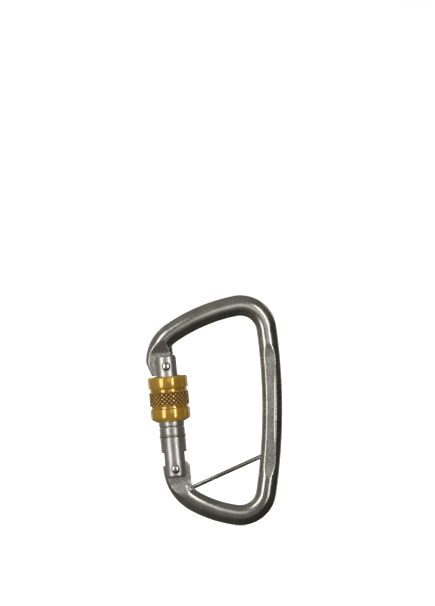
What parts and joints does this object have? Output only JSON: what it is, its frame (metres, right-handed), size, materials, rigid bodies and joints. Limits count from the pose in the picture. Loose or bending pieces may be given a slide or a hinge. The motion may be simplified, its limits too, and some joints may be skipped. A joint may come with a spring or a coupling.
{
  "type": "screw gate carabiner keyring",
  "caption": "Asymmetric D carabiner of round steel bar with a hinged gate, a knurled screw locking sleeve and a fixed captive bar across the small end.",
  "frame": {"origin": "centre of the whole object's box: on the bar's middle plane, halfway up and halfway across", "axes": "+Z towards the wide end along the hook's length, +X towards the spine, -Y out of the front face; the bar lies in the XZ plane"},
  "size_m": [0.0664, 0.0196, 0.112],
  "materials": {
    "body_steel": "satin forged steel",
    "gate_steel": "turned, satin",
    "pin_steel": "bright",
    "spring_steel": "drawn wire",
    "gold_sleeve": "gold anodised, turned and knurled",
    "nitrile": "matte"
  },
  "bodies": {
    "hook": {"body": "body_steel", "captive_bar": "pin_steel"},
    "gate": {"gate_barrel": "gate_steel", "hinge_rivet": "pin_steel", "latch_pin": "pin_steel", "gate_spring": "spring_steel", "stop_ring": "spring_steel"},
    "plunger": {"spring_plunger": "pin_steel"},
    "ring": {"sleeve_ring": "nitrile"},
    "sleeve": {"locking_sleeve": "gold_sleeve"}
  },
  "joints": [
    {"name": "gate_swing", "type": "hinge", "parent": "hook", "child": "gate", "pos_m": [-0.0187, 0, -0.0286], "axis": [0, 1, 0], "range_deg": [0, 30], "stiffness_Nm_per_rad": 0.3, "springref_deg": -20.05},
    {"name": "plunger_travel", "type": "slide", "parent": "gate", "child": "plunger", "axis": [-0.0915, 0, 0.9958], "range_m": [0, 0.00116], "deforming": ["gate_spring"]},
    {"name": "sleeve_travel", "type": "slide", "parent": "gate", "child": "ring", "axis": [-0.0915, 0, 0.9958], "range_m": [-0.00645, 0.003]},
    {"name": "sleeve_turn", "type": "hinge", "parent": "ring", "child": "sleeve", "pos_m": [-0.02175, 0, 0.00456], "axis": [-0.0915, 0, 0.9958], "range_deg": [-774, 360]}
  ],
  "couplings": [
    {"joint": "plunger_travel", "follows": "gate_swing", "m_per_rad": 0.0022},
    {"joint": "sleeve_turn", "follows": "sleeve_travel", "rad_per_m": 2094.4}
  ]
}
